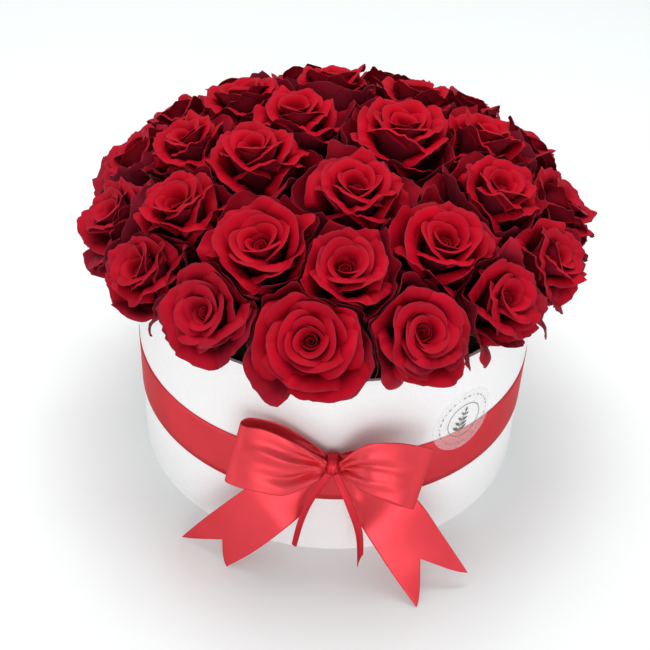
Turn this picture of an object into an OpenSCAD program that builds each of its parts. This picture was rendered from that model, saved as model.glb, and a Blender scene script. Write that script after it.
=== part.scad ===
// Flower box: a round cardboard hat box with a ribbon band and bow, and a lift-out insert of
// floral foam that holds a dome of roses. Millimetres, +Z up. The origin is the centre of the
// box's underside, and the bow is on the -Y side.

/* [Box] */
// Outside diameter of the round box
box_d = 260; // [240:1:280]
// Height of the box
box_h = 143; // [135:1:160]
// Thickness of the board tube
wall_t = 2; // [1.5:0.25:3]
// Thickness of the bottom disc
base_t = 2.5; // [2:0.25:4]

/* [Ribbon] */
// Width of the satin ribbon
ribbon_w = 38; // [36:1:40]
// Thickness of the ribbon
ribbon_t = 0.4; // [0.3:0.1:0.6]
// Height of the band's lower edge
band_z = 46.5; // [40:0.5:55]
// Diameter of the wrapped waist of the bow
knot_d = 15.2; // [14:0.2:17]
// Diameter of the round sticker
sticker_d = 46; // [30:1:50]
// Direction of the sticker's centre around the box
sticker_az = -51; // [-60:1:-45]

/* [Flowers] */
// Radius of the dome that the roses' faces lie on
dome_r = 146; // [142:1:150]
// Height of that dome above its widest level
dome_rise = 54; // [50:1:58]
// Height of the dome's widest level
dome_z = 170; // [165:1:180]
// How much higher the roses at the back stand than those over the bow
back_lift = 7; // [3:1:9]
// Greatest lean of a rose from upright, over the bow
tilt_max = 48; // [44:1:54]
// How much less than that the roses at the back may lean
tilt_ease = 14; // [8:1:20]
// Height of a rose head from calyx to face
head_h = 46; // [42:1:50]
// Diameter of a stem
stem_d = 5; // [4:0.5:6]
// Clearance around a stem in the foam
stem_gap = 0.05; // [0.02:0.01:0.1]
// Clear gap between two neighbouring roses
rose_gap = 0.8; // [0.6:0.1:1.5]

/* [Hidden] */
$fn = 96;
box_r = box_d / 2;
band_r = box_r + ribbon_t;
band_top = band_z + ribbon_w;
knot_r = knot_d / 2;
knot_w = 10;
knot_pos = [4, -band_r - knot_r, 86];
tag_t = 0.15;

liner_t = 0.4;
liner_r = box_r - wall_t - 0.6;
liner_top = box_h - 6;
foam_r = liner_r - liner_t;
foam_z = base_t + 0.5 + liner_t;
foam_shoulder_z = box_h - 5;
foam_bevel_z = 143;
foam_bevel_r = 94;
foam_top_z = 150;
foam_top_r = 80;

calyx_r = 7;
calyx_h = 5;
// Spread of the guard petals, and of the room they may take, as a share of the head radius
flare = 1.25;
stem_r = stem_d / 2;
// Gap that keeps a rose's bloom and stem two solids
graft_gap = 0.05;
// Length of the stem below the calyx, for the crown, the middle ring and the outer ring
stem_long = 54;
stem_mid = 44;
stem_short = 40;
whorls = 4;
petals = 5;

// One row for each rose: direction around the box, angle from the dome's top, head radius
ROSES = [
    [-78, 18, 29], [36, 19, 32], [128, 20, 30], [-172, 22, 32],
    [-87, 46, 29], [-52, 43, 31], [-12, 43, 29], [23, 43, 28], [62, 44, 29],
    [95, 44, 29], [132, 44, 29], [171, 43, 27], [-152, 48, 27], [-116, 43, 32],
    [-95, 77, 32], [-69, 75, 27], [-45, 74, 27], [-22, 77, 27], [3, 78, 28],
    [30, 75, 29], [52, 71, 31], [76, 74, 29], [102, 74, 29], [124, 75, 29],
    [144, 76, 27], [164, 78, 28], [-168, 79, 27], [-144, 78, 26], [-121, 77, 27]
];
rose_count = len(ROSES);

// Routes of the ribbon lengths. Each row is a point on the centre line and the vector
// across the ribbon there, from one edge to the other.
LOOP_LEFT = [
    [[0, -142, 86], [1, -2, 12]], [[-20, -151, 93], [3, 11, 31]],
    [[-37, -151, 98], [4, 15, 35]], [[-50, -148, 98], [7, 13, 35]],
    [[-54, -143, 97], [8, 12, 35]], [[-45, -138, 96], [3, 11, 36]],
    [[-25, -138, 94], [2, 7, 32]], [[0, -137, 87], [0, 0, 12]]
];
LOOP_RIGHT = [
    [[8, -142, 86], [-1, -2, 12]], [[22, -151, 96], [-2, 9, 29]],
    [[38, -152, 96], [3, 15, 32]], [[53, -150, 90], [10, 20, 30]],
    [[57, -145, 84], [10, 20, 30]], [[46, -140, 80], [8, 16, 32]],
    [[26, -139, 82], [0, 5, 32]], [[8, -137, 87], [0, 0, 12]]
];
TAIL_LEFT = [
    [[-1, -136, 82], [7, -2, -9]], [[-18, -138, 65], [20, -8, -24]],
    [[-37, -146, 50], [27, -11, -19]], [[-57, -144, 25], [31, -18, -9]],
    [[-74, -138, 0.4], [31, -22, 0]]
];
TAIL_RIGHT = [
    [[9, -136, 82], [8, 2, 8]], [[24, -136, 64], [18, 6, 25]],
    [[41, -147, 52], [29, 10, 22]], [[58, -155, 29], [31, 15, 17]],
    [[75, -163, 6.6], [31, 19, 12]]
];
TIE_LEFT = [
    [[2, -144, 83], [4, 0, -2]], [[-7, -149, 68], [4, 0, -3]],
    [[-13, -151, 49], [5, 0, -1]], [[-17, -151, 24], [5, 0, -1]]
];
TIE_RIGHT = [
    [[6, -144, 83], [4, 0, 2]], [[15, -150, 64], [4, 0, 2]],
    [[22, -151, 40], [5, 0, 1]], [[24, -151, 12], [5, 0, 1]]
];

function numbered(what, i) = str(what, "_", i < 10 ? "0" : "", i);
function unit(v) = v / norm(v);

// ---- Places of the roses on the dome ----
function rose_face(k) =
    let (az = ROSES[k][0], pol = ROSES[k][1])
    let (lift = back_lift * (1 + sin(az)) / 2 * pow(sin(pol), 2))
    [dome_r * sin(pol) * cos(az), dome_r * sin(pol) * sin(az), dome_z + dome_rise * cos(pol) + lift];
function rose_tilt(k) =
    let (most = tilt_max - tilt_ease * (1 + sin(ROSES[k][0])) / 2)
    min(most, atan2(sin(ROSES[k][1]) / dome_r, cos(ROSES[k][1]) / dome_rise));
function rose_axis(k) =
    let (az = ROSES[k][0], tilt = rose_tilt(k))
    [sin(tilt) * cos(az), sin(tilt) * sin(az), cos(tilt)];
function rose_foot(k) = rose_face(k) - head_h * rose_axis(k);
function rose_heart(k) = rose_face(k) - 0.3 * head_h * rose_axis(k);
function stem_len(k) = k < 4 ? stem_long : k < 14 ? stem_mid : stem_short;

// The roses that press against rose k
function neighbours(k) = [
    for (j = [0 : rose_count - 1])
        if (j != k && norm(rose_heart(j) - rose_heart(k)) < flare * (ROSES[j][2] + ROSES[k][2])) j
];

// Moves children from the origin to rose k's foot, with +Z along its stem
module at_rose(k) {
    translate(rose_foot(k)) rotate([0, rose_tilt(k), ROSES[k][0]]) children();
}

// Everything beyond the plane halfway to rose j, seen from rose k
module beyond(k, j) {
    away = rose_heart(j) - rose_heart(k);
    share = ROSES[k][2] / (ROSES[k][2] + ROSES[j][2]);
    reach = norm(away) * share - rose_gap / 2;
    translate(rose_heart(k))
        rotate([0, acos(away[2] / norm(away)), atan2(away[1], away[0])])
            translate([-60, -60, reach]) cube([120, 120, 60]);
}

// ---- Rose ----
function cup_r(x, r) = calyx_r + (r - calyx_r) * pow(sin(90 * x), 1.1);

// Outline of a head: calyx, cup, then the crests of the petal whorls down to the heart
function head_outline(r) = concat(
    [[0, -calyx_h], [stem_r, -calyx_h], [calyx_r * 0.85, -2]],
    [for (x = [0 : 0.125 : 1]) [cup_r(x, r), head_h * x * 0.96]],
    [for (w = [0 : whorls - 1], s = [0, 1])
        [r * (0.95 - 0.22 * w - 0.12 * s), head_h * (s == 0 ? 1.05 : 0.88)]],
    [[0, head_h]]
);

module guard_petals(r) {
    for (i = [0 : petals - 1])
        rotate([0, 0, 360 / petals * i])
            rotate_extrude(angle = 58)
                polygon([
                    [r * 0.66, head_h * 0.48], [r * 0.92, head_h * 0.64],
                    [r * 1.08, head_h * 0.82], [r * 0.96 * flare, head_h * 0.88],
                    [r * 1.05, head_h * 0.95], [r * 0.80, head_h * 0.84]
                ]);
}

// A stem from its slanted cut up to just under the bloom, which is a solid of its own
module stem(k) {
    color("darkgreen") at_rose(k) translate([0, 0, -stem_len(k)]) difference() {
        cylinder(r = stem_r, h = stem_len(k) - calyx_h - graft_gap);
        rotate([0, 40, 0]) translate([-10, -10, -20]) cube([20, 20, 20]);
    }
}

module bloom(k) {
    r = ROSES[k][2];
    color("crimson") difference() {
        at_rose(k) union() {
            rotate_extrude() polygon(head_outline(r));
            guard_petals(r);
        }
        for (j = neighbours(k)) beyond(k, j);
    }
}

module rose(k) {
    bloom(k);
    stem(k);
}

// ---- Box ----
module box_wall() {
    color("white") difference() {
        cylinder(r = box_r, h = box_h);
        translate([0, 0, -1]) cylinder(r = box_r - wall_t, h = box_h + 2);
    }
}

module box_base() {
    color("whitesmoke") cylinder(r = box_r - wall_t, h = base_t);
}

module liner() {
    color("lightgray", 0.5) translate([0, 0, base_t + 0.5]) difference() {
        cylinder(r = liner_r, h = liner_top - base_t - 0.5);
        translate([0, 0, liner_t]) cylinder(r = liner_r - liner_t, h = liner_top);
    }
}

module foam() {
    color("darkolivegreen") difference() {
        rotate_extrude() polygon([
            [0, foam_z], [foam_r, foam_z], [foam_r, foam_shoulder_z],
            [foam_bevel_r, foam_bevel_z], [foam_top_r, foam_top_z], [0, foam_top_z]
        ]);
        for (k = [0 : rose_count - 1])
            at_rose(k) translate([0, 0, -stem_len(k) - 1]) rotate([0, 0, 75])
                cylinder(r = stem_r + stem_gap, h = stem_len(k) + head_h);
    }
}

// ---- Ribbon ----
// A point between rows i and i + 1 of a route, on a Catmull-Rom curve through them
function on_curve(p, i, t) =
    let (
        n = len(p),
        a = p[max(i - 1, 0)],
        b = p[i],
        c = p[min(i + 1, n - 1)],
        d = p[min(i + 2, n - 1)]
    )
    0.5 * (2 * b + (c - a) * t + (2 * a - 5 * b + 4 * c - d) * t * t
           + (3 * b - a - 3 * c + d) * t * t * t);
function along(p, s) =
    let (u = s * (len(p) - 1), i = min(floor(u), len(p) - 2)) on_curve(p, i, u - i);

// A ribbon length swept along a route. vee cuts a swallowtail and slant a skew end, each as
// a share of the length.
module ribbon(route, vee = 0, slant = 0, steps = 30) {
    centres = [for (row = route) row[0]];
    widths = [for (row = route) row[1]];
    cols = [-0.5, 0, 0.5];
    m = len(cols);
    n = steps + 1;
    function share(s, u) = s * (1 - vee * (1 - 2 * abs(u)) - slant * (0.5 - u));
    function mid(s, u) = along(centres, share(s, u)) + u * along(widths, share(s, u));
    function normal(s, u) =
        let (q = share(s, u), e = 0.004)
        unit(cross(along(centres, min(q + e, 1)) - along(centres, max(q - e, 0)),
                   along(widths, q)));
    function sheet(side) = [
        for (i = [0 : steps], j = [0 : m - 1])
            mid(i / steps, cols[j]) + side * ribbon_t / 2 * normal(i / steps, cols[j])
    ];
    back = n * m;
    function quad(a, b, c, d) = [[a, b, c], [a, c, d]];
    faces = concat(
        [for (i = [0 : steps - 1], j = [0 : m - 2])
            each quad(i * m + j, i * m + j + 1, (i + 1) * m + j + 1, (i + 1) * m + j)],
        [for (i = [0 : steps - 1], j = [0 : m - 2])
            each quad(back + i * m + j, back + (i + 1) * m + j,
                      back + (i + 1) * m + j + 1, back + i * m + j + 1)],
        [for (i = [0 : steps - 1])
            each quad(i * m, (i + 1) * m, back + (i + 1) * m, back + i * m)],
        [for (i = [0 : steps - 1])
            each quad(i * m + m - 1, back + i * m + m - 1,
                      back + (i + 1) * m + m - 1, (i + 1) * m + m - 1)],
        [for (j = [0 : m - 2]) each quad(j, back + j, back + j + 1, j + 1)],
        [for (j = [0 : m - 2])
            each quad(steps * m + j, steps * m + j + 1,
                      back + steps * m + j + 1, back + steps * m + j)]
    );
    polyhedron(points = concat(sheet(1), sheet(-1)), faces = faces, convexity = 6);
}

module ribbon_band() {
    color("indianred") translate([0, 0, band_z]) difference() {
        cylinder(r = band_r, h = ribbon_w);
        translate([0, 0, -1]) cylinder(r = box_r, h = ribbon_w + 2);
    }
}

module bow_loop_left() { color("indianred") ribbon(LOOP_LEFT); }
module bow_loop_right() { color("indianred") ribbon(LOOP_RIGHT); }
module bow_tail_left() { color("indianred") ribbon(TAIL_LEFT, vee = 0.19); }
module bow_tail_right() { color("indianred") ribbon(TAIL_RIGHT, vee = 0.22); }
module tie_tail_left() { color("firebrick") ribbon(TIE_LEFT, slant = 0.08, steps = 16); }
module tie_tail_right() { color("firebrick") ribbon(TIE_RIGHT, slant = -0.12, steps = 16); }

// The waist of the bow, wrapped round by the narrow tie
module tie_knot() {
    color("firebrick") translate(knot_pos) rotate([0, 90, 0]) rotate_extrude() polygon(concat(
        [[0, -knot_w / 2]],
        [for (a = [-60 : 15 : 60]) [knot_r - 2 + 2 * cos(a * 1.5), knot_w / 2 * sin(a * 1.5)]],
        [[0, knot_w / 2]]
    ));
}

// ---- Sticker ----
module sticker() {
    color("gainsboro", 0.5) intersection() {
        translate([0, 0, band_top - 24]) difference() {
            cylinder(r = band_r + tag_t, h = 64);
            translate([0, 0, -1]) cylinder(r = band_r, h = 66);
        }
        translate([0, 0, band_top + 7.5]) rotate([0, 90, sticker_az])
            cylinder(d = sticker_d, h = box_d);
    }
}

box_wall();
box_base();
ribbon_band();
bow_loop_left();
bow_loop_right();
bow_tail_left();
bow_tail_right();
tie_knot();
tie_tail_left();
tie_tail_right();
sticker();
liner();
foam();
for (k = [0 : rose_count - 1])
    rose(k);
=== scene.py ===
"""Flower box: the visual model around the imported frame. Metres, +Z up, the bow on the -Y side."""

import math

import bpy
import numpy as np
from mathutils import Euler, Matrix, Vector


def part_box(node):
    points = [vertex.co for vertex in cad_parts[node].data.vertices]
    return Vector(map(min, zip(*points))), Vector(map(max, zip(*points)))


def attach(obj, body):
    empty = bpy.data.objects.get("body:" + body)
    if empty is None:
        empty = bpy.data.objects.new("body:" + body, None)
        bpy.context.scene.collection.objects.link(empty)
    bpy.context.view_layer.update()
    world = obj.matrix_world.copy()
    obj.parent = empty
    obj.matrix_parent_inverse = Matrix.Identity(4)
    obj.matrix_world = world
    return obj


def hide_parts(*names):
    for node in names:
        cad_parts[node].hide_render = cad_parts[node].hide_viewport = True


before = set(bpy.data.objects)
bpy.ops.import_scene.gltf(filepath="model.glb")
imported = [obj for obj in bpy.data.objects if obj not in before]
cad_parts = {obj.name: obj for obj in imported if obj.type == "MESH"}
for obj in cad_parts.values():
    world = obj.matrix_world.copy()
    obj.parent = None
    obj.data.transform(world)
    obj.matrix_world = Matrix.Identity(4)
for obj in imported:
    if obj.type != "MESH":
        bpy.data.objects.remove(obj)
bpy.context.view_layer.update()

MM = 0.001
scene = bpy.context.scene
scene.view_settings.view_transform = "Standard"


def cad_corners(node_name):
    """Lowest and highest corners of a CAD node, in mm."""
    low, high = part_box(node_name)
    return np.array(low) / MM, np.array(high) / MM


# ---------------------------------------------------------------- sizes taken from the CAD (mm)
WALL_TOP = cad_corners("box_wall")[1]
BAND_LOW, BAND_HIGH = cad_corners("ribbon_band")
KNOT_LOW, KNOT_HIGH = cad_corners("tie_knot")
STICKER_LOW, STICKER_HIGH = cad_corners("sticker")
BOX_R, BOX_H = WALL_TOP[0], WALL_TOP[2]
BAND_R = BAND_HIGH[0]
BAND_Z = BAND_LOW[2]
RIBBON_W = BAND_HIGH[2] - BAND_Z
KNOT_R = (KNOT_HIGH[2] - KNOT_LOW[2]) / 2
KNOT_POS = (KNOT_LOW + KNOT_HIGH) / 2
STICKER_Z = (STICKER_LOW[2] + STICKER_HIGH[2]) / 2

# ---------------------------------------------------------------- sizes repeated from the CAD (mm)
RIBBON_T = 0.4
STICKER_AZ = -51.0
DOME_R = 146.0
DOME_RISE = 54.0
DOME_Z = 170.0
BACK_LIFT = 7.0
TILT_MAX = 48.0
TILT_EASE = 14.0
HEAD_H = 46.0
STEM_R = 2.5
CALYX_H = 5.0
FLARE = 1.25
# Share of the head's height, down from its face, at which a rose is widest
HEART = 0.3

# Direction around the box, angle from the dome's top, head radius
ROSES = [
    (-78, 18, 29), (36, 19, 32), (128, 20, 30), (-172, 22, 32),
    (-87, 46, 29), (-52, 43, 31), (-12, 43, 29), (23, 43, 28), (62, 44, 29),
    (95, 44, 29), (132, 44, 29), (171, 43, 27), (-152, 48, 27), (-116, 43, 32),
    (-95, 77, 32), (-69, 75, 27), (-45, 74, 27), (-22, 77, 27), (3, 78, 28),
    (30, 75, 29), (52, 71, 31), (76, 74, 29), (102, 74, 29), (124, 75, 29),
    (144, 76, 27), (164, 78, 28), (-168, 79, 27), (-144, 78, 26), (-121, 77, 27),
]
# Roses of the crown and of the middle ring, which come first in the list
CROWN, INNER = 4, 14
STEM_LENGTH = [54 if k < CROWN else 44 if k < INNER else 40 for k in range(len(ROSES))]


# ---------------------------------------------------------------- camera
# Lens and sensor in mm, place in metres, angles in degrees; the camera looks down at the bow
CAMERA_LENS, CAMERA_SENSOR = 66.17, 36.0
CAMERA_PLACE = (0.0, -0.6285, 0.5922)
CAMERA_YAW, CAMERA_DOWN, CAMERA_ROLL = 0.52, 39.33, 2.70


def make_camera():
    data = bpy.data.cameras.new("camera")
    data.lens = CAMERA_LENS
    data.sensor_width = CAMERA_SENSOR
    camera = bpy.data.objects.new("camera", data)
    camera.location = CAMERA_PLACE
    yaw = Euler((0, 0, math.radians(CAMERA_YAW))).to_matrix()
    pitch = Euler((math.radians(90 - CAMERA_DOWN), 0, 0)).to_matrix()
    roll = Euler((0, 0, math.radians(CAMERA_ROLL))).to_matrix()
    camera.rotation_euler = (yaw @ pitch @ roll).to_euler()
    scene.collection.objects.link(camera)
    scene.camera = camera


make_camera()


# ---------------------------------------------------------------- mesh helpers
def new_object(name, points, quads, material, attributes=None, tris=None):
    """An object from points in mm, quads, and float attributes with one value per point."""
    mesh = bpy.data.meshes.new(name)
    points = np.asarray(points, dtype=np.float32).reshape(-1, 3) * MM
    quads = np.asarray(quads, dtype=np.int32).reshape(-1, 4)
    tris = np.zeros((0, 3), np.int32) if tris is None else np.asarray(tris, np.int32).reshape(-1, 3)
    corners = np.concatenate([quads.ravel(), tris.ravel()])
    totals = np.concatenate([np.full(len(quads), 4, np.int32), np.full(len(tris), 3, np.int32)])
    starts = np.concatenate([[0], np.cumsum(totals)[:-1]]).astype(np.int32)
    mesh.vertices.add(len(points))
    mesh.vertices.foreach_set("co", points.ravel())
    mesh.loops.add(len(corners))
    mesh.loops.foreach_set("vertex_index", corners)
    mesh.polygons.add(len(totals))
    mesh.polygons.foreach_set("loop_start", starts)
    mesh.polygons.foreach_set("loop_total", totals)
    mesh.polygons.foreach_set("use_smooth", np.ones(len(totals), dtype=bool))
    for key, values in (attributes or {}).items():
        layer = mesh.attributes.new(key, "FLOAT", "POINT")
        layer.data.foreach_set("value", np.asarray(values, dtype=np.float32).ravel())
    mesh.update(calc_edges=True)
    mesh.validate()
    obj = bpy.data.objects.new(name, mesh)
    obj.data.materials.append(material)
    scene.collection.objects.link(obj)
    return obj


def smoothstep(x, low=0.0, high=1.0):
    """0 below low and 1 above high, with an even S curve between them."""
    x = np.clip((x - low) / (high - low), 0.0, 1.0)
    return x * x * (3 - 2 * x)


def grid_normals(grid):
    """Unit normals of point grids shaped (..., nu, nv, 3)."""
    across = np.gradient(grid, axis=-3)
    along = np.gradient(grid, axis=-2)
    normal = np.cross(across, along)
    return normal / np.maximum(np.linalg.norm(normal, axis=-1, keepdims=True), 1e-9)


def sheet_solid(front, back):
    """Points and quads of the closed solid between two grids shaped (count, nu, nv, 3)."""
    count, nu, nv = front.shape[:3]
    points = np.concatenate([front.reshape(count, -1, 3), back.reshape(count, -1, 3)], axis=1)
    index = np.arange(nu * nv).reshape(nu, nv)
    a, b, c, d = index[:-1, :-1], index[1:, :-1], index[1:, 1:], index[:-1, 1:]
    face = np.stack([a, b, c, d], axis=-1).reshape(-1, 4)
    shift = nu * nv
    rim = np.concatenate([index[:, 0], index[-1, 1:], index[-2::-1, -1], index[0, -2:0:-1]])
    follow = np.roll(rim, -1)
    side = np.stack([rim, rim + shift, follow + shift, follow], axis=-1)
    quads = np.concatenate([face, face[:, ::-1] + shift, side])
    every = quads[None] + (np.arange(count) * 2 * shift)[:, None, None]
    return points.reshape(-1, 3), every.reshape(-1, 4)


def capped_tube(rings, low, high):
    """Points, quads and cap triangles of the closed tube through rings shaped (around, along, 3)."""
    around, along = rings.shape[:2]
    index = np.arange(around * along).reshape(around, along)
    after = np.roll(index, -1, axis=0)
    quads = np.stack([index[:, :-1], after[:, :-1], after[:, 1:], index[:, 1:]], axis=-1).reshape(-1, 4)
    count = around * along
    tris = [(index[i, 0], count, after[i, 0]) for i in range(around)]
    tris += [(index[i, -1], after[i, -1], count + 1) for i in range(around)]
    return np.concatenate([rings.reshape(-1, 3), [low, high]]), quads, tris


# ---------------------------------------------------------------- material helpers
def new_material(name):
    """A node material, its tree and its Principled shader."""
    material = bpy.data.materials.new(name)
    material.use_nodes = True
    tree = material.node_tree
    shader = tree.nodes["Principled BSDF"]
    return material, tree, shader


def node(tree, kind, **settings):
    """A new node with settings given to its sockets, or to its own properties."""
    made = tree.nodes.new(kind)
    for key, value in settings.items():
        if key in made.inputs:
            made.inputs[key].default_value = value
        else:
            setattr(made, key, value)
    return made


def mix_colour(tree, factor, first, second):
    """first where factor is 0 and second where it is 1; each may be a socket or a value."""
    made = tree.nodes.new("ShaderNodeMix")
    made.data_type = "RGBA"
    for socket, value in ((made.inputs[0], factor), (made.inputs[6], first), (made.inputs[7], second)):
        if isinstance(value, bpy.types.NodeSocket):
            tree.links.new(value, socket)
        else:
            socket.default_value = value
    return made.outputs[2]


def attribute(tree, name):
    return node(tree, "ShaderNodeAttribute", attribute_name=name).outputs["Fac"]


def ramp(tree, value, stops):
    """A colour ramp over value, with stops of (place, colour)."""
    made = tree.nodes.new("ShaderNodeValToRGB")
    tree.links.new(value, made.inputs["Fac"])
    elements = made.color_ramp.elements
    while len(elements) < len(stops):
        elements.new(0.5)
    for element, (place, colour) in zip(elements, stops):
        element.position = place
        element.color = colour
    return made.outputs["Color"]


def object_noise(tree, scale, detail=3.0, stretch=(1, 1, 1)):
    """Noise fixed to the piece, with scale in features per metre."""
    place = tree.nodes.new("ShaderNodeTexCoord")
    mapping = tree.nodes.new("ShaderNodeMapping")
    mapping.inputs["Scale"].default_value = stretch
    tree.links.new(place.outputs["Object"], mapping.inputs["Vector"])
    noise = node(tree, "ShaderNodeTexNoise", Scale=scale, Detail=detail)
    tree.links.new(mapping.outputs["Vector"], noise.inputs["Vector"])
    return noise.outputs["Fac"]


def add_bump(tree, shader, height, strength, distance):
    bump = node(tree, "ShaderNodeBump", Strength=strength, Distance=distance)
    tree.links.new(height, bump.inputs["Height"])
    tree.links.new(bump.outputs["Normal"], shader.inputs["Normal"])


# ---------------------------------------------------------------- materials
def petal_material():
    material, tree, shader = new_material("petal_red")
    shader.inputs["Roughness"].default_value = 0.6
    shader.inputs["Specular IOR Level"].default_value = 0.06
    shader.inputs["Sheen Weight"].default_value = 0.08
    shader.inputs["Sheen Roughness"].default_value = 0.35
    shader.inputs["Sheen Tint"].default_value = (1.0, 0.14, 0.19, 1)
    cloud = object_noise(tree, 55.0, 4.0)
    red = ramp(tree, cloud, [(0.3, (0.38, 0.0, 0.008, 1)), (0.7, (0.54, 0.0, 0.014, 1))])
    # Painted shade: depth darkens the petals towards their bases, down in the wells between them
    well_shade = mix_colour(tree, attribute(tree, "depth"), red, (0.075, 0.004, 0.008, 1))
    # back gives the duller colour of the petals' backs and guard petals, a random tone per rose, and painted
    # shade on the outer roses at the back
    back = mix_colour(tree, attribute(tree, "back"), well_shade, (0.20, 0.012, 0.030, 1))
    margin = mix_colour(tree, attribute(tree, "margin"), back, (0.20, 0.022, 0.040, 1))
    tree.links.new(margin, shader.inputs["Base Color"])
    veins = object_noise(tree, 900.0, 2.0, (1, 1, 0.35))
    add_bump(tree, shader, veins, 0.12, 0.0003)
    return material


def green_material():
    material, tree, shader = new_material("stem_green")
    shader.inputs["Roughness"].default_value = 0.55
    cloud = object_noise(tree, 120.0, 3.0)
    green = ramp(tree, cloud, [(0.35, (0.022, 0.075, 0.018, 1)), (0.7, (0.055, 0.15, 0.03, 1))])
    tree.links.new(green, shader.inputs["Base Color"])
    add_bump(tree, shader, object_noise(tree, 1500.0, 2.0), 0.2, 0.0002)
    return material


def satin_material(name, light, dark):
    material, tree, shader = new_material(name)
    shader.inputs["Roughness"].default_value = 0.38
    shader.inputs["Metallic"].default_value = 0.6
    shader.inputs["Specular IOR Level"].default_value = 0.15
    shader.inputs["Specular Tint"].default_value = (0.5, 0.1, 0.13, 1)
    shader.inputs["Sheen Weight"].default_value = 0.02
    shader.inputs["Sheen Roughness"].default_value = 0.4
    shader.inputs["Sheen Tint"].default_value = (1.0, 0.3, 0.35, 1)
    cloud = object_noise(tree, 22.0, 2.0)
    colour = ramp(tree, cloud, [(0.35, dark), (0.65, light)])
    tree.links.new(colour, shader.inputs["Base Color"])
    add_bump(tree, shader, object_noise(tree, 2600.0, 1.0, (1, 1, 0.2)), 0.06, 0.0002)
    return material


def paper_material(name, colour):
    material, tree, shader = new_material(name)
    shader.inputs["Roughness"].default_value = 0.62
    shader.inputs["Specular IOR Level"].default_value = 0.35
    fibres = object_noise(tree, 700.0, 4.0, (1, 1, 0.5))
    soft = tuple(c * 0.97 for c in colour[:3]) + (1,)
    tree.links.new(ramp(tree, fibres, [(0.35, soft), (0.65, colour)]), shader.inputs["Base Color"])
    add_bump(tree, shader, fibres, 0.05, 0.0002)
    return material


def foam_material():
    material, tree, shader = new_material("floral_foam")
    shader.inputs["Roughness"].default_value = 0.9
    pores = object_noise(tree, 1200.0, 3.0)
    green = ramp(tree, pores, [(0.35, (0.005, 0.012, 0.005, 1)), (0.7, (0.018, 0.04, 0.015, 1))])
    tree.links.new(green, shader.inputs["Base Color"])
    add_bump(tree, shader, pores, 0.5, 0.0006)
    return material


def film_material(name, alpha, colour, roughness):
    material, tree, shader = new_material(name)
    shader.inputs["Roughness"].default_value = roughness
    shader.inputs["Alpha"].default_value = alpha
    haze = object_noise(tree, 90.0, 2.0)
    dim = tuple(c * 0.96 for c in colour[:3]) + (1,)
    tree.links.new(ramp(tree, haze, [(0.3, dim), (0.7, colour)]), shader.inputs["Base Color"])
    return material


def ink_material():
    material, tree, shader = new_material("grey_ink")
    shader.inputs["Roughness"].default_value = 0.5
    worn = object_noise(tree, 500.0, 2.0)
    grey = ramp(tree, worn, [(0.3, (0.09, 0.09, 0.10, 1)), (0.7, (0.20, 0.20, 0.21, 1))])
    tree.links.new(grey, shader.inputs["Base Color"])
    return material


PETAL = petal_material()
GREEN = green_material()
SATIN = satin_material("satin_red", (0.74, 0.060, 0.076, 1), (0.65, 0.047, 0.061, 1))
# The bow's satin is a lighter copy of the band's, painted light for the brighter lit loops and tails, and the
# narrow tie's is a little darker
SATIN_BOW_PAINTED_LIGHT = satin_material("satin_bow_red_painted_light", (0.77, 0.064, 0.081, 1), (0.69, 0.052, 0.067, 1))
SATIN_TIE = satin_material("satin_tie_red", (0.64, 0.030, 0.048, 1), (0.54, 0.022, 0.037, 1))
PAPER = paper_material("box_paper", (0.90, 0.895, 0.90, 1))
FOAM = foam_material()
LINER = film_material("liner_film", 0.6, (0.85, 0.87, 0.88, 1), 0.3)
CLEAR = film_material("clear_film", 0.15, (1.0, 1.0, 1.0, 1), 0.45)
INK = ink_material()


# ---------------------------------------------------------------- ribbon routes (mm)
# Each row is a point on the centre line and the vector across the ribbon there, as in the CAD
LOOP_LEFT = [
    ((0, -142, 86), (1, -2, 12)), ((-20, -151, 93), (3, 11, 31)),
    ((-37, -151, 98), (4, 15, 35)), ((-50, -148, 98), (7, 13, 35)),
    ((-54, -143, 97), (8, 12, 35)), ((-45, -138, 96), (3, 11, 36)),
    ((-25, -138, 94), (2, 7, 32)), ((0, -137, 87), (0, 0, 12)),
]
LOOP_RIGHT = [
    ((8, -142, 86), (-1, -2, 12)), ((22, -151, 96), (-2, 9, 29)),
    ((38, -152, 96), (3, 15, 32)), ((53, -150, 90), (10, 20, 30)),
    ((57, -145, 84), (10, 20, 30)), ((46, -140, 80), (8, 16, 32)),
    ((26, -139, 82), (0, 5, 32)), ((8, -137, 87), (0, 0, 12)),
]
TAIL_LEFT = [
    ((-1, -136, 82), (7, -2, -9)), ((-18, -138, 65), (20, -8, -24)),
    ((-37, -146, 50), (27, -11, -19)), ((-57, -144, 25), (31, -18, -9)),
    ((-74, -138, 0.4), (31, -22, 0)),
]
TAIL_RIGHT = [
    ((9, -136, 82), (8, 2, 8)), ((24, -136, 64), (18, 6, 25)),
    ((41, -147, 52), (29, 10, 22)), ((58, -155, 29), (31, 15, 17)),
    ((75, -163, 6.6), (31, 19, 12)),
]
TIE_LEFT = [
    ((2, -144, 83), (4, 0, -2)), ((-7, -149, 68), (4, 0, -3)),
    ((-13, -151, 49), (5, 0, -1)), ((-17, -151, 24), (5, 0, -1)),
]
TIE_RIGHT = [
    ((6, -144, 83), (4, 0, 2)), ((15, -150, 64), (4, 0, 2)),
    ((22, -151, 40), (5, 0, 1)), ((24, -151, 12), (5, 0, 1)),
]


def catmull(rows, share):
    """Points at shares 0 to 1 along a Catmull-Rom curve through rows."""
    rows = np.asarray(rows, dtype=float)
    last = len(rows) - 1
    place = np.asarray(share, dtype=float) * last
    i = np.minimum(place.astype(int), last - 1)
    t = (place - i)[..., None]
    a, b = rows[np.maximum(i - 1, 0)], rows[i]
    c, d = rows[i + 1], rows[np.minimum(i + 2, last)]
    cubic = 3 * b - a - 3 * c + d
    return 0.5 * (2 * b + (c - a) * t + (2 * a - 5 * b + 4 * c - d) * t * t + cubic * t * t * t)


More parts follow.
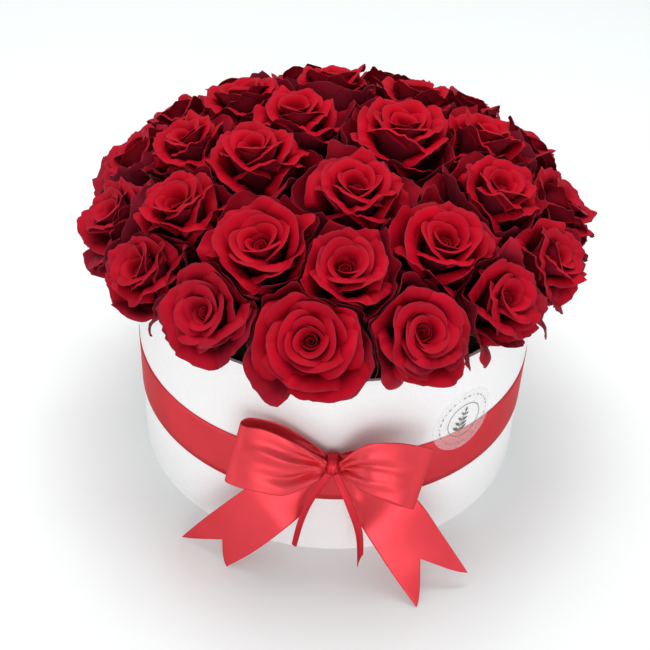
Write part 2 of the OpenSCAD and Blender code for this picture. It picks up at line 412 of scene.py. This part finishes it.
def ribbon_grid(route, across, steps, vee=0.0, slant=0.0):
    """Centre-surface points of a ribbon shaped (across, steps, 3), with its shares.

    vee cuts a swallowtail and slant a skew end, each as a share of the length.
    """
    u = np.linspace(-0.5, 0.5, across)[:, None]
    s = np.linspace(0, 1, steps)[None, :]
    share = s * (1 - vee * (1 - 2 * np.abs(u)) - abs(slant) * (0.5 - math.copysign(1, slant) * u))
    centre = catmull([row[0] for row in route], share)
    width = catmull([row[1] for row in route], share)
    return centre + u[..., None] * width, u, share


def cloth_piece(name, grid, thickness, material):
    """An object of the given thickness in mm around a centre surface."""
    normal = grid_normals(grid)
    half = thickness / 2
    points, quads = sheet_solid((grid + half * normal)[None], (grid - half * normal)[None])
    return new_object(name, points, quads, material)


def pleats(grid, u, share, near, depth, count, phase):
    """Gathers that run out from the waist of the bow, sharp beside it and fading along the ribbon.

    near has a row for each gathered end: its share along the ribbon and how far the gathers reach.
    """
    normal = grid_normals(grid)
    moved = grid
    for end, reach in near:
        away = np.abs(share - end)
        for order, part in ((1, 1.0), (2, 0.45)):
            fade = np.exp(-(away * order / reach) ** 2) * smoothstep(away, 0.0, 0.05)
            wave = np.cos(2 * np.pi * count * order * (u + 0.1 * away) + phase * order)
            moved = moved + (fade * wave * depth * part)[..., None] * normal
    return moved


def pinch(grid, u, share, at, start, reach, depth, width):
    """One crease along the ribbon, deepest beside the waist, with a soft ridge on both sides.

    at and width are shares across the ribbon, start and reach shares along it, and depth is in mm.
    """
    away = np.abs(share - start)
    fade = np.exp(-(away / reach) ** 2) * smoothstep(away, 0.01, 0.08)
    x = (u - at) / width
    crease = (1 - 2.2 * x * x) * np.exp(-x * x * 1.4)
    return grid + (fade * crease * depth)[..., None] * grid_normals(grid)


# ---------------------------------------------------------------- tie tails (cords)
def tie_tail(node_name, route, slant, curl):
    """A narrow ribbon end, turned and curled a little."""
    grid, u, share = ribbon_grid(route, 9, 61, slant=slant)
    middle = catmull([row[0] for row in route], share)
    side = grid - middle
    turned = np.stack([side[..., 0] * (1 - 0.35 * share), side[..., 0] * 0.6 * share, side[..., 2]], axis=-1)
    grid = middle + turned
    cup = curl * smoothstep(share, 0.05, 0.5) * (4 * u * u - 0.4)
    grid = grid + cup[..., None] * grid_normals(grid)
    obj = cloth_piece(node_name + "_ribbon", grid, 0.5, SATIN_TIE)
    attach(obj, "box")
    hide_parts(node_name)


tie_tail("tie_tail_left", TIE_LEFT, slant=0.08, curl=0.5)
tie_tail("tie_tail_right", TIE_RIGHT, slant=-0.12, curl=-0.9)


# ---------------------------------------------------------------- bow
def bow_loop(node_name, route, phase, creases):
    """One loop, gathered at both ends; creases are rows of at, start, reach, depth and width for pinch."""
    grid, u, share = ribbon_grid(route, 41, 141)
    grid = pleats(grid, u, share, ((0.0, 0.16), (1.0, 0.13)), 1.5, 2.4, phase)
    for at, start, reach, depth, width in creases:
        grid = pinch(grid, u, share, at, start, reach, depth, width)
    obj = cloth_piece(node_name + "_satin", grid, RIBBON_T, SATIN_BOW_PAINTED_LIGHT)
    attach(obj, "box")
    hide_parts(node_name)


def bow_tail(node_name, route, vee, phase):
    """One swallowtail end, gathered at the waist."""
    grid, u, share = ribbon_grid(route, 33, 91, vee=vee)
    grid = pleats(grid, u, share, ((0.0, 0.24),), 1.2, 2.0, phase)
    obj = cloth_piece(node_name + "_satin", grid, RIBBON_T, SATIN_BOW_PAINTED_LIGHT)
    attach(obj, "box")
    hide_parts(node_name)


def tie_knot():
    """The gathered waist, wrapped by turns of the narrow tie, as a drum with overlapping wraps."""
    around = np.linspace(0, 2 * np.pi, 96, endpoint=False)
    across = np.linspace(-1, 1, 33)
    a, x = np.meshgrid(around, across, indexing="ij")
    turn = x * 1.6 + 0.22 * np.sin(a + 0.6) + 0.5
    ledge = turn - np.floor(turn)
    wraps = 0.9 * smoothstep(ledge, 0.0, 0.16) - 0.55 * ledge + 0.18 * np.sin(9 * x + 2 * a)
    radius = (KNOT_R - 1.1) * np.sqrt(np.maximum(1 - 0.72 * x ** 4, 0.02)) + wraps * (1 - x ** 8)
    squash = 1 - 0.18 * np.sin(a) ** 2
    half = 4.1
    end = np.array([half + 0.2, 0, 0])
    rings = np.stack([x * half, radius * np.cos(a) * squash, radius * np.sin(a)], axis=-1) + KNOT_POS
    points, quads, tris = capped_tube(rings, KNOT_POS - end, KNOT_POS + end)
    obj = new_object("tie_knot_wrap", points, quads, SATIN_TIE, tris=tris)
    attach(obj, "box")
    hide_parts("tie_knot")


def ribbon_band():
    """The band as one closed ring of ribbon, just clear of the wall."""
    around = np.linspace(0, 2 * np.pi, 361)
    across = np.linspace(0, 1, 9)
    a, x = np.meshgrid(around, across, indexing="ij")
    radius = BOX_R + 0.06
    inner = np.stack([radius * np.cos(a), radius * np.sin(a), BAND_Z + RIBBON_W * x], axis=-1)
    outer = inner * np.array([BAND_R / radius, BAND_R / radius, 1.0])
    index = np.arange(a.size).reshape(a.shape)[:-1]
    nxt = np.roll(index, -1, axis=0)
    ring = np.concatenate([outer[:-1].reshape(-1, 3), inner[:-1].reshape(-1, 3)])
    shift = index.size
    face = np.stack([index[:, :-1], nxt[:, :-1], nxt[:, 1:], index[:, 1:]], axis=-1).reshape(-1, 4)
    low = np.stack([index[:, 0], index[:, 0] + shift, nxt[:, 0] + shift, nxt[:, 0]], axis=-1)
    high = np.stack([index[:, -1], nxt[:, -1], nxt[:, -1] + shift, index[:, -1] + shift], axis=-1)
    quads = np.concatenate([face, face[:, ::-1] + shift, low, high])
    obj = new_object("ribbon_band_satin", ring, quads, SATIN)
    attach(obj, "box")
    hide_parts("ribbon_band")


tie_knot()
bow_loop("bow_loop_left", LOOP_LEFT, phase=0.4,
         creases=((0.12, 0.0, 0.28, 4.2, 0.17), (-0.22, 0.0, 0.22, -2.6, 0.14)))
bow_loop("bow_loop_right", LOOP_RIGHT, phase=2.2,
         creases=((0.05, 0.0, 0.25, 3.6, 0.16), (-0.25, 0.0, 0.24, -2.4, 0.14)))
bow_tail("bow_tail_left", TAIL_LEFT, vee=0.19, phase=0.3)
bow_tail("bow_tail_right", TAIL_RIGHT, vee=0.22, phase=1.4)
ribbon_band()


# ---------------------------------------------------------------- roses
def rose_frames():
    """Face, foot, heart, axis and rotation of every rose, in mm."""
    places = []
    for azimuth, polar, radius in ROSES:
        az, pol = math.radians(azimuth), math.radians(polar)
        ring = DOME_R * math.sin(pol)
        lift = BACK_LIFT * (1 + math.sin(az)) / 2 * math.sin(pol) ** 2
        face = np.array([ring * math.cos(az), ring * math.sin(az), DOME_Z + DOME_RISE * math.cos(pol) + lift])
        most = math.radians(TILT_MAX - TILT_EASE * (1 + math.sin(az)) / 2)
        tilt = min(most, math.atan2(math.sin(pol) / DOME_R, math.cos(pol) / DOME_RISE))
        axis = np.array([math.sin(tilt) * math.cos(az), math.sin(tilt) * math.sin(az), math.cos(tilt)])
        down = np.array([math.cos(tilt) * math.cos(az), math.cos(tilt) * math.sin(az), -math.sin(tilt)])
        places.append({
            "face": face,
            "foot": face - HEAD_H * axis,
            "heart": face - HEART * HEAD_H * axis,
            "axis": axis,
            "turn": np.stack([down, np.cross(axis, down), axis], axis=1),
            "radius": radius,
            "rim": smoothstep(polar, 60, 75),
            "edge": smoothstep(polar, 60, 75) * smoothstep(-math.sin(az), 0.2, 0.7),
            "back": (1 + math.sin(az)) / 2,
        })
    return places


PLACES = rose_frames()


# How far petals stay out from the wall and up from the rim, and how softly they are pressed, in mm
WALL_GAP, RIM_GAP = 1.2, 2.0
SOFT_ROSE, SOFT_BOX = 6.0, 3.0


def soft_limit(distance, soft):
    """Distances kept below zero: those past -soft are pressed together before they reach it."""
    over = np.maximum(distance + soft, 0)
    return np.where(distance > -soft, -soft * np.exp(-over / soft), distance)


def squeeze(points, k):
    """Presses a rose's petals against its neighbours' shares of the room and over the box rim."""
    me = PLACES[k]
    for j, other in enumerate(PLACES):
        away = other["heart"] - me["heart"]
        gap = np.linalg.norm(away)
        if j == k or gap > FLARE * (me["radius"] + other["radius"]):
            continue
        side = away / gap
        slide = np.cross(side, me["axis"] + other["axis"])
        slide = slide / np.linalg.norm(slide)
        sign = 1.0 if k < j else -1.0
        low, high = min(j, k), max(j, k)
        middle = me["heart"] + side * gap * me["radius"] / (me["radius"] + other["radius"])
        along = (points - middle) @ slide * sign
        wave = 2.6 * np.sin(along / 6.5 + 1.7 * low + 0.9 * high) + 1.2 * np.sin(along / 3.1 + low)
        distance = (points - middle) @ side - sign * wave + 0.5
        points = points + ((soft_limit(distance, SOFT_ROSE) - distance)[..., None]) * side
    return over_rim(points)


def over_rim(points):
    """Keeps a rose outside the box wall or above its rim."""
    ring = np.maximum(np.linalg.norm(points[..., :2], axis=-1), 1e-6)
    out = ring - (BOX_R + WALL_GAP)
    up = points[..., 2] - (BOX_H + RIM_GAP)
    both = np.hypot(np.maximum(out, 0), np.maximum(up, 0))
    depth = np.minimum(np.maximum(out, up), 0) + both
    push = -soft_limit(-depth, SOFT_BOX) - depth
    outside = (out > 0) & (up > 0)
    share_out = np.where(outside, np.maximum(out, 0) / np.maximum(both, 1e-6), (out > up) * 1.0)
    share_up = np.where(outside, np.maximum(up, 0) / np.maximum(both, 1e-6), (out <= up) * 1.0)
    moved = points.copy()
    moved[..., :2] += (push * share_out / ring)[..., None] * points[..., :2]
    moved[..., 2] += push * share_up
    return moved


# Points across a petal and from its base to its rim, which lie closer together near the rim
NU, NV = 25, 23
PETAL_U = np.linspace(-1, 1, NU)[:, None]
PETAL_V = (1 - (1 - np.linspace(0, 1, NV)) ** 1.5)[None, :]
# The last petals are guard petals outside the bloom, and the first ones are the closed bud
GUARDS = 7
BUD = 6
# Degrees from each petal to the next
GOLDEN_ANGLE = 137.5
# Share of the head's height at which the petals' lips begin, from the bud to the outside
RIM_SHARES = [0, 0.25, 0.32, 0.5, 0.7, 0.85, 1]
RIM_HEIGHTS = [0.82, 0.87, 0.99, 1.02, 0.98, 0.90, 0.78]
# Radii that the last petal of the bud and the first open petal reach, in mm
BUD_REACH, BUD_STEP, OPEN_REACH = 1.2, 0.8, 7.5


def petal_row(rng, i, count, radius, openness, spread, hang):
    """Measures of petal i, from the bud in the middle to the guard petals outside.

    t runs from 0 in the heart to 1 at the outside, rim_h is the height of the rim, reach how far
    out it goes, lip the length that curls by bend, and half the petal's half width as an angle.
    spread is 1 where a guard petal reaches into the room between roses, and 0 on the outside of
    the dome. hang is 1 on the low side of a rose over the bow, where it is held up, and else 0.
    """
    t = min(i / (count - 1 - GUARDS), 1.0)
    row = {
        "t": t,
        "rim_h": HEAD_H * np.interp(t, RIM_SHARES, RIM_HEIGHTS) * rng.uniform(0.97, 1.03),
        "lean": math.radians(np.interp(t, [0, 0.25, 0.45, 0.65, 0.85, 1], [0, 0, 6, 14, 26, 36])),
        "lip": np.interp(t, [0, 0.22, 0.32, 0.6, 1], [1.0, 1.6, 3.6, 6.5, 10.0]),
        "bend": np.interp(t, [0, 0.22, 0.32, 0.6, 1], [0.3, 0.5, 1.05, 1.35, 1.45]) * rng.uniform(0.8, 1.15),
        "half": math.radians(np.interp(t, [0, 0.1, 0.22, 0.45, 0.7, 1], [250, 170, 110, 92, 78, 64])),
        "flat": 1 + 0.55 * smoothstep(t, 0.5, 1.0),
    }
    if i < BUD:
        row["reach"] = BUD_REACH + BUD_STEP * i
    else:
        share = (i - BUD) / (count - 1 - GUARDS - BUD)
        row["reach"] = OPEN_REACH + (radius * openness - OPEN_REACH) * share ** 1.1
    if i >= count - GUARDS:
        row["reach"] = radius * (rng.uniform(1.1, 1.38) + 0.24 * spread - 0.32 * hang)
        row["rim_h"] = HEAD_H * (rng.uniform(0.52, 0.84) + 0.06 * hang)
        row["lean"] = math.radians(rng.uniform(26, 70) - 18 * hang)
        row["lip"] = rng.uniform(8.0, 14.0)
        row["bend"] = rng.uniform(0.2, 1.5)
        row["flat"] = 1.2
    return row


def petal_grid(rng, row, centre):
    """One petal in the rose's own frame, shaped (NU, NV, 3), facing the direction centre."""
    t = row["t"]
    u, v = PETAL_U, PETAL_V
    phase = rng.uniform(0, 2 * np.pi, 6)
    outer = smoothstep(t, 0.45, 0.85)
    rim = 1 - np.interp(t, [0, 0.4, 1], [0.07, 0.12, 0.24]) * np.abs(u) ** 2.6
    rim = rim + 0.09 * outer * rng.uniform(0.1, 1.0) * np.exp(-(u / 0.24) ** 2)
    rim = rim + 0.012 * np.sin(4 * u + phase[0]) + 0.009 * outer * np.sin(13 * u + phase[1])
    rim = rim + outer * (0.007 * np.sin(23 * u + phase[5]) + 0.010 * rng.normal(size=(NU, 1)))
    roll = 1 + outer * (0.75 * np.abs(u) ** 1.5 - 0.35) + 0.16 * np.sin(3.1 * u + phase[2])
    base_r = 1.0 + 3.5 * t
    s = np.linspace(0, 1, 60)
    rim_r = max(row["reach"] * 0.7, row["reach"] - 12)
    for _ in range(4):
        shell = base_r + (rim_r - base_r) * np.sin(np.pi / 2 * s) ** 0.75
        height = row["rim_h"] * s
        arc = np.concatenate([[0], np.cumsum(np.hypot(np.diff(shell), np.diff(height)))])
        tangent = np.arctan2(np.gradient(shell), np.gradient(height))
        length = arc[-1] + row["lip"]
        reach = v * length * rim
        curl = smoothstep(v, 1 - (row["lip"] + 2.5) / length, 1.0)
        angle = np.interp(reach.ravel(), arc, tangent).reshape(reach.shape)
        angle = angle + row["lean"] * smoothstep(v, 0.35, 0.9) + row["bend"] * curl * roll
        step = np.diff(reach, axis=1, prepend=0)
        middle_angle = (angle + np.concatenate([angle[:, :1], angle[:, :-1]], axis=1)) / 2
        out = base_r + np.cumsum(step * np.sin(middle_angle), axis=1)
        rim_r = max(rim_r + row["reach"] - out[NU // 2].max(), base_r + 0.2)
    up = np.cumsum(step * np.cos(middle_angle), axis=1)
    claw = np.interp(v, [0, 0.25, 0.6, 0.85, 1], [0.62, 0.8, 1.0, 0.98, 0.9])
    tuck = np.interp(t, [0, 0.1, 0.3, 1], [0.5, 0.28, 0.15, 0.08])
    swell = np.interp(t, [0, 0.5, 1], [0.12, 0.8, 1.7]) * v ** 2
    crumple = 0.9 * outer * smoothstep(v, 0.75, 1.0)
    out = out * (1 + tuck * u * v)
    out = out + swell * (np.sin(2.4 * u + phase[3]) + 0.4 * v * np.sin(6.1 * u + phase[4]))
    up = up + crumple * (np.sin(9 * u + phase[1]) + 0.5 * np.sin(19 * u + phase[2]))
    azimuth = u * row["half"] * claw / row["flat"]
    big = out * row["flat"]
    radial = out - big * (1 - np.cos(azimuth))
    lateral = big * np.sin(azimuth)
    x = radial * math.cos(centre) - lateral * math.sin(centre)
    y = radial * math.sin(centre) + lateral * math.cos(centre)
    return np.stack([x, y, up], axis=-1)


def rose_petals(k):
    """All petals of rose k as one object, with painted shade in the wells and on the outer roses at the back,
    and duller on the petals' backs and along the rims.
    """
    place = PLACES[k]
    rng = np.random.default_rng(40 + k)
    count = int(rng.integers(28, 32))
    openness = rng.uniform(0.98, 1.14)
    spin = rng.uniform(0, 2 * np.pi)
    grids = []
    for i in range(count):
        centre = spin + math.radians(GOLDEN_ANGLE) * i + rng.normal(0, 0.10)
        low_side = smoothstep(math.cos(centre), -0.3, 0.8)
        spread = 1 - place["rim"] * low_side
        row = petal_row(rng, i, count, place["radius"], openness, spread, place["edge"] * low_side)
        grids.append(petal_grid(rng, row, centre))
    world = np.array(grids) @ place["turn"].T + place["foot"]
    world = squeeze(world, k)
    normal = grid_normals(world)
    from_rim = np.minimum(1 - PETAL_V, (1 - np.abs(PETAL_U)) * 1.2)
    half = (0.10 + 0.22 * smoothstep(from_rim, 0, 0.35))[None, ..., None]
    points, quads = sheet_solid(world + half * normal, world - half * normal)
    shape = world.shape[:3]
    level = np.linspace(0, 1, count)[:, None, None]
    margin = np.broadcast_to(np.exp(-((1 - PETAL_V) / 0.02) ** 2), shape) * (0.25 + 0.45 * level)
    # Painted shade in the wells: depth darkens each petal from its base up to near its rim, over more of the
    # inner petals
    start = 0.45 + 0.2 * (1 - level)
    depth = 1 - smoothstep((PETAL_V - start) / (0.97 - start)) * np.ones(shape)
    guard = (np.arange(count) >= count - GUARDS)[:, None, None] * np.ones(shape)
    # A random tone per rose, darker on the outer ring, plus painted shade that darkens the outer roses at the
    # back
    tone_and_shade = rng.uniform(0.0, 0.14) + (0.10 + 0.22 * place["back"]) * place["rim"]
    inside = guard * 0.3 + tone_and_shade
    outside = np.ones(shape) * (0.3 + 0.6 * level)
    attributes = {
        "margin": np.stack([margin, margin], axis=1),
        "depth": np.stack([depth, depth], axis=1) * 0.95,
        "back": np.stack([outside, inside], axis=1),
    }
    name = f"rose_{k + 1:02d}"
    obj = new_object(name + "_petals", points, quads, PETAL, attributes)
    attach(obj, name)
    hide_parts(name)


def rose_stem(k):
    """Stem with a slanted cut, the calyx swelling, and five reflexed sepals."""
    place = PLACES[k]
    rng = np.random.default_rng(400 + k)
    long = STEM_LENGTH[k]
    # Height and radius of each ring, from the cut up through the calyx
    rows = [(-long, STEM_R), (-long * 0.6, STEM_R * 0.98), (-CALYX_H - 4, STEM_R),
            (-CALYX_H, 3.0), (-3.5, 4.6), (-1.5, 5.6), (0.5, 5.2), (1.2, 3.0)]
    height, ring_r = np.array(rows).T
    around = np.linspace(0, 2 * np.pi, 14, endpoint=False)[:, None]
    rings = np.stack([ring_r * np.cos(around), ring_r * np.sin(around),
                      height * np.ones_like(around)], axis=-1)
    rings[:, 0, 2] += 2.2 + 0.8 * rings[:, 0, 0]
    points, quads, tris = capped_tube(rings, rings[:, 0].mean(axis=0), rings[:, -1].mean(axis=0))
    u = np.linspace(-1, 1, 5)[:, None]
    v = np.linspace(0, 1, 9)[None, :]
    sepals = []
    for i in range(5):
        turn = 2 * np.pi * i / 5 + rng.normal(0, 0.1)
        wide = 4.6 * np.sqrt(1 - v ** 1.6) * (0.75 + 0.5 * v) + 0.15
        bend = rng.uniform(0.9, 1.5)
        out = 4.6 + 17 * np.sin(bend * v) / bend
        up = -1.5 + 4 * v - 8 * v ** 2 * rng.uniform(0.2, 1.0) - 1.2 * (u * u) * (1 - v)
        lateral = u * wide
        x = out * math.cos(turn) - lateral * math.sin(turn)
        y = out * math.sin(turn) + lateral * math.cos(turn)
        sepals.append(np.stack([x, y, up], axis=-1))
    world = np.array(sepals) @ place["turn"].T + place["foot"]
    world = squeeze(world, k)
    normal = grid_normals(world)
    more, faces = sheet_solid(world + 0.25 * normal, world - 0.25 * normal)
    points = points @ place["turn"].T + place["foot"]
    quads = np.concatenate([quads, faces + len(points)])
    obj = new_object(f"rose_{k + 1:02d}_stem", np.concatenate([points, more]), quads, GREEN, tris=tris)
    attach(obj, f"rose_{k + 1:02d}")
    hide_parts(f"rose_{k + 1:02d}")


for k in range(len(ROSES)):
    rose_petals(k)
    rose_stem(k)


# ---------------------------------------------------------------- sticker print
def on_wall(x, z, lift):
    """A point on the sticker, x mm across and z mm up from its centre."""
    radius = BAND_R + 0.15 + lift
    angle = math.radians(STICKER_AZ) + x / radius
    return (radius * math.cos(angle), radius * math.sin(angle), STICKER_Z + z)


def line_sides(line, width):
    """The two long sides of a flat line that runs through the points (x, z)."""
    line = np.asarray(line, dtype=float)
    along = np.gradient(line, axis=0)
    along = along / np.maximum(np.linalg.norm(along, axis=1, keepdims=True), 1e-9)
    side = np.stack([-along[:, 1], along[:, 0]], axis=1) * width / 2
    return line + side, line - side


def leaf_sides(x, z, direction, long):
    """The two sides of a slender leaf that starts at (x, z)."""
    a = math.radians(direction)
    along, over = np.array([math.cos(a), math.sin(a)]), np.array([-math.sin(a), math.cos(a)])
    t = np.linspace(0, 1, 9)[:, None]
    middle = np.array([x, z]) + along * long * t
    swell = over * long * 0.17 * np.sin(np.pi * t)
    return middle + swell, middle - swell


def circle(radius, start=0, end=360, steps=73):
    angles = np.radians(np.linspace(start, end, steps))
    return [(radius * math.cos(a), radius * math.sin(a)) for a in angles]


def sticker_print():
    """A plain printed seal: a thin ring, short dashes around it and a leafy spray in the middle."""
    shapes = [line_sides(circle(12.5), 0.4)]
    for middle in range(0, 360, 12):
        wide = 3.2 if middle % 36 else 1.2
        shapes.append(line_sides(circle(18.5, middle - wide, middle + wide, 7), 0.5))
    stem = [(0.06 * t * t - 3.5, 1.9 * t - 9) for t in range(9)]
    shapes.append(line_sides(stem, 0.4))
    for i, (x, z) in enumerate(stem[1:8:2]):
        for direction in (25, 140):
            shapes.append(leaf_sides(x, z, direction - 5 * i, 6.5 - 0.9 * i))
    shapes.append(leaf_sides(*stem[-1], 75, 4.0))
    points, quads = [], []
    for left, right in shapes:
        front = [[on_wall(*p, 0.05) for p in left], [on_wall(*p, 0.05) for p in right]]
        back = [[on_wall(*p, 0.02) for p in left], [on_wall(*p, 0.02) for p in right]]
        more, faces = sheet_solid(np.array(front)[None], np.array(back)[None])
        quads.append(faces + sum(len(p) for p in points))
        points.append(more)
    obj = new_object("sticker_print", np.concatenate(points), np.concatenate(quads), INK)
    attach(obj, "box")


sticker_print()


# ---------------------------------------------------------------- materials of the CAD nodes
def dress(node_name, material):
    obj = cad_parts[node_name]
    obj.data.materials.clear()
    obj.data.materials.append(material)


dress("box_wall", PAPER)
dress("box_base", PAPER)
dress("liner", LINER)
dress("foam", FOAM)
dress("sticker", CLEAR)


# ---------------------------------------------------------------- floor, light
def make_floor():
    material, tree, shader = new_material("floor_white")
    shader.inputs["Base Color"].default_value = (0.87, 0.905, 0.905, 1)
    shader.inputs["Roughness"].default_value = 0.9
    mesh = bpy.data.meshes.new("floor")
    side = 6.0
    corners = [(-side, -side, 0), (side, -side, 0), (side, side, 0), (-side, side, 0)]
    mesh.from_pydata(corners, [], [(0, 1, 2, 3)])
    floor = bpy.data.objects.new("floor", mesh)
    floor.data.materials.append(material)
    scene.collection.objects.link(floor)


def area_light(name, place, target, size, power):
    """A square white light of size metres and power watts, turned to target."""
    data = bpy.data.lights.new(name, "AREA")
    data.shape = "SQUARE"
    data.size = size
    data.energy = power
    light = bpy.data.objects.new(name, data)
    light.location = place
    aim = Vector(target) - Vector(place)
    light.rotation_euler = aim.to_track_quat("-Z", "Y").to_euler()
    scene.collection.objects.link(light)


def make_world():
    world = bpy.data.worlds.new("studio")
    world.use_nodes = True
    back = world.node_tree.nodes["Background"]
    back.inputs["Color"].default_value = (1, 1, 1, 1)
    back.inputs["Strength"].default_value = 0.57
    scene.world = world


make_floor()
make_world()
area_light("key", place=(-0.05, 0.25, 1.5), target=(0, 0, 0.1), size=0.9, power=14.5)
area_light("front", place=(0.1, -2.6, 0.7), target=(0, 0, 0.1), size=1.5, power=23)
area_light("side_left", place=(-2.1, -1.1, 0.5), target=(0, 0, 0.06), size=1.1, power=4.8)
area_light("side_right", place=(2.1, -1.1, 0.5), target=(0, 0, 0.06), size=1.1, power=4.8)
